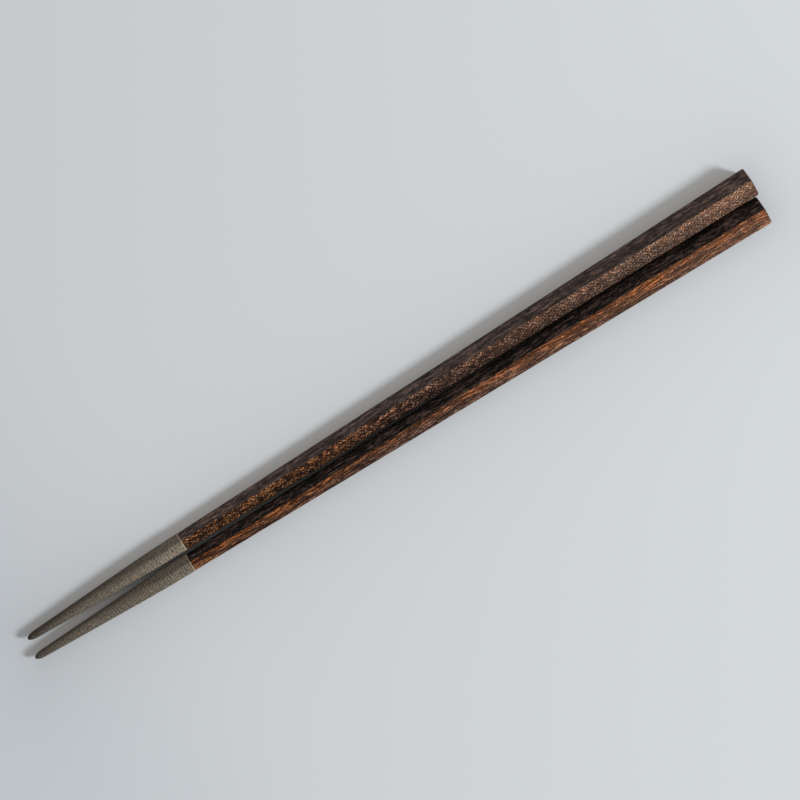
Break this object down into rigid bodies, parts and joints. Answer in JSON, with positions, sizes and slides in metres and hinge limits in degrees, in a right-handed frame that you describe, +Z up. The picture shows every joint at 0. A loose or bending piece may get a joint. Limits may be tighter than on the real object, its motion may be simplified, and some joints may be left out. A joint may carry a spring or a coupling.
{
  "type": "pair of chopsticks",
  "caption": "Reusable wooden chopsticks with faceted, tapering shafts and gritty grey-coated tips that grip food, lying side by side on one facet.",
  "frame": {"origin": "middle of the pair's footprint, on the surface that it lies on", "axes": "+X from the tips to the butts, +Y to the right-hand stick as seen from the butts, +Z up"},
  "size_m": [0.231, 0.0164, 0.0078],
  "materials": {
    "dark_wood": "dark streaked hardwood, rubbed with clear lacquer to a low sheen",
    "tip_lacquer": "matt warm grey lacquer filled with fine grit, in narrow rings"
  },
  "bodies": {
    "root": {"left_chopstick": "dark_wood", "right_chopstick": "dark_wood", "left_tip_coat": "tip_lacquer", "right_tip_coat": "tip_lacquer"}
  },
  "joints": []
}
